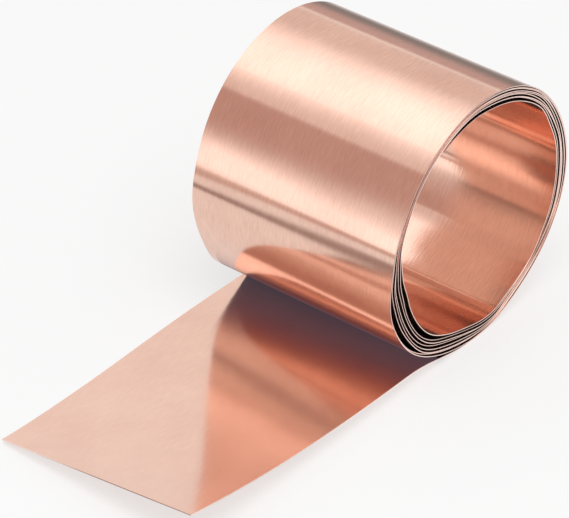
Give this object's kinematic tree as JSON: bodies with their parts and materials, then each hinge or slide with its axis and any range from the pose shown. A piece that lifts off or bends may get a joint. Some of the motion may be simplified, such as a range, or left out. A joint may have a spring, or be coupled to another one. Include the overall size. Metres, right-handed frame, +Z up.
{
  "type": "roll of copper strip",
  "caption": "Coil of thin bright metal strip lying on its side, with an open bore and its free end drawn out flat across the floor.",
  "frame": {"origin": "middle of the bore", "axes": "+X along the bore; -Y towards the free end of the strip; +Z up"},
  "size_m": [0.1, 0.2324, 0.113],
  "materials": {
    "copper": "bright cold-rolled copper, fine rolling lines along the strip"
  },
  "bodies": {
    "root": {"copper_strip": "copper"}
  },
  "joints": []
}
